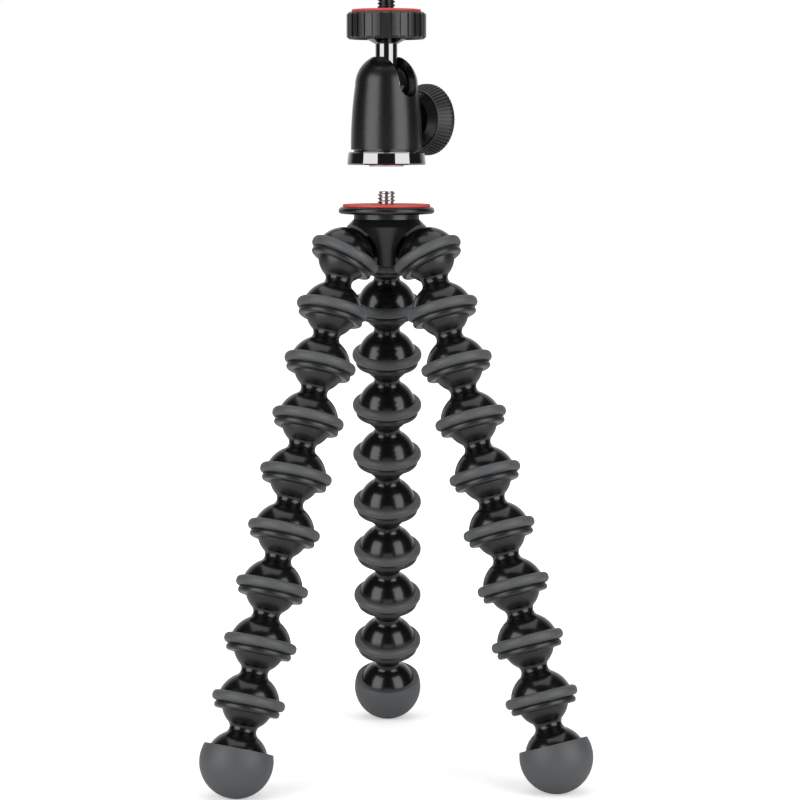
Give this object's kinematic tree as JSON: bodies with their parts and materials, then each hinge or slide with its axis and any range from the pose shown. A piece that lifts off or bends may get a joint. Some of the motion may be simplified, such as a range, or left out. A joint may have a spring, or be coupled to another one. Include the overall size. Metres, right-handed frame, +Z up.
{
  "type": "flexible leg tripod",
  "caption": "Small camera stand with three bendable ball-and-cup legs, a hub with a screw platform and a ball head.",
  "frame": {"origin": "the floor, straight below the hub axis", "axes": "+Z up along the hub axis, -Y towards the pictured front, +X to its right"},
  "size_m": [0.1353, 0.1562, 0.2747],
  "materials": {
    "hub": "satin",
    "rubber": "matte",
    "plate": "satin",
    "red_pad": "matte",
    "steel": "bright",
    "link": "gloss",
    "base_disc": "gloss",
    "bush": "satin",
    "washer": "matte",
    "housing": "satin",
    "seat": "matte",
    "knob": "satin",
    "knob_rim": "matte",
    "brass": "satin",
    "stem": "gloss",
    "black_screw": "satin"
  },
  "bodies": {
    "hub": {"hub_body": "hub", "hub_grip_rings": "rubber", "platform_plate": "plate", "platform_pad": "red_pad", "platform_screw": "steel"},
    "leg_left_link_1": {"leg_left_link_1": "link"},
    "leg_left_link_2": {"leg_left_link_2": "link"},
    "leg_left_link_3": {"leg_left_link_3": "link"},
    "leg_left_link_4": {"leg_left_link_4": "link"},
    "leg_left_link_5": {"leg_left_link_5": "link"},
    "leg_left_link_6": {"leg_left_link_6": "link"},
    "leg_left_link_7": {"leg_left_link_7": "link"},
    "leg_left_link_8": {"leg_left_link_8": "link"},
    "leg_left_foot": {"leg_left_foot_link": "link", "leg_left_foot_pad": "rubber"},
    "leg_right_link_1": {"leg_right_link_1": "link"},
    "leg_right_link_2": {"leg_right_link_2": "link"},
    "leg_right_link_3": {"leg_right_link_3": "link"},
    "leg_right_link_4": {"leg_right_link_4": "link"},
    "leg_right_link_5": {"leg_right_link_5": "link"},
    "leg_right_link_6": {"leg_right_link_6": "link"},
    "leg_right_link_7": {"leg_right_link_7": "link"},
    "leg_right_link_8": {"leg_right_link_8": "link"},
    "leg_right_foot": {"leg_right_foot_link": "link", "leg_right_foot_pad": "rubber"},
    "leg_rear_link_1": {"leg_rear_link_1": "link"},
    "leg_rear_link_2": {"leg_rear_link_2": "link"},
    "leg_rear_link_3": {"leg_rear_link_3": "link"},
    "leg_rear_link_4": {"leg_rear_link_4": "link"},
    "leg_rear_link_5": {"leg_rear_link_5": "link"},
    "leg_rear_link_6": {"leg_rear_link_6": "link"},
    "leg_rear_link_7": {"leg_rear_link_7": "link"},
    "leg_rear_link_8": {"leg_rear_link_8": "link"},
    "leg_rear_foot": {"leg_rear_foot_link": "link", "leg_rear_foot_pad": "rubber"},
    "head_base": {"head_base_disc": "base_disc", "head_base_bush": "bush", "pan_washer": "washer", "pan_retaining_ring": "steel"},
    "head_housing": {"ball_housing": "housing", "ball_seat_cup": "seat"},
    "ball": {"ball_stem": "stem", "camera_screw": "black_screw"},
    "knob": {"clamp_knob_core": "knob", "clamp_knob_rim": "knob_rim", "clamp_screw": "steel"},
    "shoe": {"clamp_shoe": "brass"},
    "pad_carrier": {"lock_ring_pad": "red_pad"},
    "lock_ring": {"lock_ring": "knob"}
  },
  "joints": [
    {"name": "leg_left_bend_1", "type": "hinge", "parent": "hub", "child": "leg_left_link_1", "pos_m": [-0.01498, -0.00865, 0.1826], "axis": [-0.788, 0.6157, 0], "range_deg": [-17, 34]},
    {"name": "leg_left_bend_2", "type": "hinge", "parent": "leg_left_link_1", "child": "leg_left_link_2", "pos_m": [-0.01921, -0.01407, 0.16382], "axis": [-0.5791, -0.7413, 0.3393], "range_deg": [-28, 28]},
    {"name": "leg_left_bend_3", "type": "hinge", "parent": "leg_left_link_2", "child": "leg_left_link_3", "pos_m": [-0.02339, -0.01941, 0.145], "axis": [0.788, -0.6157, 0], "range_deg": [-28, 28]},
    {"name": "leg_left_bend_4", "type": "hinge", "parent": "leg_left_link_3", "child": "leg_left_link_4", "pos_m": [-0.02752, -0.02469, 0.12616], "axis": [0.5811, 0.7437, -0.3305], "range_deg": [-28, 28]},
    {"name": "leg_left_bend_5", "type": "hinge", "parent": "leg_left_link_4", "child": "leg_left_link_5", "pos_m": [-0.03158, -0.0299, 0.10728], "axis": [-0.788, 0.6157, 0], "range_deg": [-28, 28]},
    {"name": "leg_left_bend_6", "type": "hinge", "parent": "leg_left_link_5", "child": "leg_left_link_6", "pos_m": [-0.0356, -0.03504, 0.08838], "axis": [-0.5829, -0.7461, 0.3217], "range_deg": [-28, 28]},
    {"name": "leg_left_bend_7", "type": "hinge", "parent": "leg_left_link_6", "child": "leg_left_link_7", "pos_m": [-0.03956, -0.04011, 0.06944], "axis": [0.788, -0.6157, 0], "range_deg": [-28, 28]},
    {"name": "leg_left_bend_8", "type": "hinge", "parent": "leg_left_link_7", "child": "leg_left_link_8", "pos_m": [-0.04347, -0.04511, 0.05047], "axis": [0.5848, 0.7485, -0.3128], "range_deg": [-28, 28]},
    {"name": "leg_left_bend_9", "type": "hinge", "parent": "leg_left_link_8", "child": "leg_left_foot", "pos_m": [-0.04732, -0.05004, 0.03148], "axis": [-0.788, 0.6157, 0], "range_deg": [-28, 28]},
    {"name": "leg_right_bend_1", "type": "hinge", "parent": "hub", "child": "leg_right_link_1", "pos_m": [0.01498, -0.00865, 0.1826], "axis": [-0.6691, -0.7431, 0], "range_deg": [-17, 37]},
    {"name": "leg_right_bend_2", "type": "hinge", "parent": "leg_right_link_1", "child": "leg_right_link_2", "pos_m": [0.01994, -0.01312, 0.16375], "axis": [0.701, -0.6312, 0.3319], "range_deg": [-28, 28]},
    {"name": "leg_right_bend_3", "type": "hinge", "parent": "leg_right_link_2", "child": "leg_right_link_3", "pos_m": [0.02488, -0.01756, 0.14488], "axis": [0.6691, 0.7431, 0], "range_deg": [-28, 28]},
    {"name": "leg_right_bend_4", "type": "hinge", "parent": "leg_right_link_3", "child": "leg_right_link_4", "pos_m": [0.02978, -0.02198, 0.126], "axis": [-0.702, 0.6321, -0.3281], "range_deg": [-28, 28]},
    {"name": "leg_right_bend_5", "type": "hinge", "parent": "leg_right_link_4", "child": "leg_right_link_5", "pos_m": [0.03466, -0.02637, 0.10711], "axis": [-0.6691, -0.7431, 0], "range_deg": [-28, 28]},
    {"name": "leg_right_bend_6", "type": "hinge", "parent": "leg_right_link_5", "child": "leg_right_link_6", "pos_m": [0.03951, -0.03073, 0.0882], "axis": [0.703, -0.633, 0.3243], "range_deg": [-28, 28]},
    {"name": "leg_right_bend_7", "type": "hinge", "parent": "leg_right_link_6", "child": "leg_right_link_7", "pos_m": [0.04433, -0.03507, 0.06928], "axis": [0.6691, 0.7431, 0], "range_deg": [-28, 28]},
    {"name": "leg_right_bend_8", "type": "hinge", "parent": "leg_right_link_7", "child": "leg_right_link_8", "pos_m": [0.04912, -0.03939, 0.05035], "axis": [-0.7039, 0.6338, -0.3205], "range_deg": [-28, 28]},
    {"name": "leg_right_bend_9", "type": "hinge", "parent": "leg_right_link_8", "child": "leg_right_foot", "pos_m": [0.05388, -0.04368, 0.03141], "axis": [-0.6691, -0.7431, 0], "range_deg": [-28, 28]},
    {"name": "leg_rear_bend_1", "type": "hinge", "parent": "hub", "child": "leg_rear_link_1", "pos_m": [0, 0.0173, 0.1826], "axis": [1, 0, 0], "range_deg": [-14, 41]},
    {"name": "leg_rear_bend_2", "type": "hinge", "parent": "leg_rear_link_1", "child": "leg_rear_link_2", "pos_m": [0, 0.02305, 0.16344], "axis": [0, 0.9549, 0.2969], "range_deg": [-28, 28]},
    {"name": "leg_rear_bend_3", "type": "hinge", "parent": "leg_rear_link_2", "child": "leg_rear_link_3", "pos_m": [0, 0.02899, 0.14435], "axis": [-1, 0, 0], "range_deg": [-28, 28]},
    {"name": "leg_rear_bend_4", "type": "hinge", "parent": "leg_rear_link_3", "child": "leg_rear_link_4", "pos_m": [0, 0.03511, 0.12531], "axis": [0, -0.9488, -0.3159], "range_deg": [-28, 28]},
    {"name": "leg_rear_bend_5", "type": "hinge", "parent": "leg_rear_link_4", "child": "leg_rear_link_5", "pos_m": [0, 0.04143, 0.10633], "axis": [1, 0, 0], "range_deg": [-28, 28]},
    {"name": "leg_rear_bend_6", "type": "hinge", "parent": "leg_rear_link_5", "child": "leg_rear_link_6", "pos_m": [0, 0.04794, 0.08742], "axis": [0, 0.9423, 0.3348], "range_deg": [-28, 28]},
    {"name": "leg_rear_bend_7", "type": "hinge", "parent": "leg_rear_link_6", "child": "leg_rear_link_7", "pos_m": [0, 0.05463, 0.06857], "axis": [-1, 0, 0], "range_deg": [-28, 28]},
    {"name": "leg_rear_bend_8", "type": "hinge", "parent": "leg_rear_link_7", "child": "leg_rear_link_8", "pos_m": [0, 0.06152, 0.0498], "axis": [0, -0.9354, -0.3535], "range_deg": [-28, 28]},
    {"name": "leg_rear_bend_9", "type": "hinge", "parent": "leg_rear_link_8", "child": "leg_rear_foot", "pos_m": [0, 0.06859, 0.03109], "axis": [1, 0, 0], "range_deg": [-28, 28]},
    {"name": "head_lift", "type": "slide", "parent": "hub", "child": "head_base", "axis": [0, 0, 1], "range_m": [-0.0132, 0]},
    {"name": "head_pan", "type": "hinge", "parent": "head_base", "child": "head_housing", "pos_m": [0, 0, 0.2151], "axis": [0, 0, 1], "continuous": true},
    {"name": "ball_tilt", "type": "hinge", "parent": "head_housing", "child": "ball", "pos_m": [0, 0, 0.2431], "axis": [0.682, 0.7314, 0], "range_deg": [0, 90]},
    {"name": "knob_turn", "type": "hinge", "parent": "head_housing", "child": "knob", "pos_m": [0.00914, 0.0098, 0.2311], "axis": [-0.682, -0.7314, 0], "range_deg": [0, 180]},
    {"name": "shoe_press", "type": "slide", "parent": "head_housing", "child": "shoe", "axis": [-0.682, -0.7314, 0], "range_m": [0, 0.0004]},
    {"name": "lock_pad_rise", "type": "slide", "parent": "ball", "child": "pad_carrier", "axis": [0, 0, 1], "range_m": [0, 0.0025]},
    {"name": "lock_ring_turn", "type": "hinge", "parent": "pad_carrier", "child": "lock_ring", "pos_m": [0, 0, 0.2697], "axis": [0, 0, 1], "range_deg": [0, 708]}
  ],
  "couplings": [
    {"joint": "shoe_press", "follows": "knob_turn", "m_per_rad": 0.00012732},
    {"joint": "lock_pad_rise", "follows": "lock_ring_turn", "m_per_rad": 0.00020213}
  ]
}
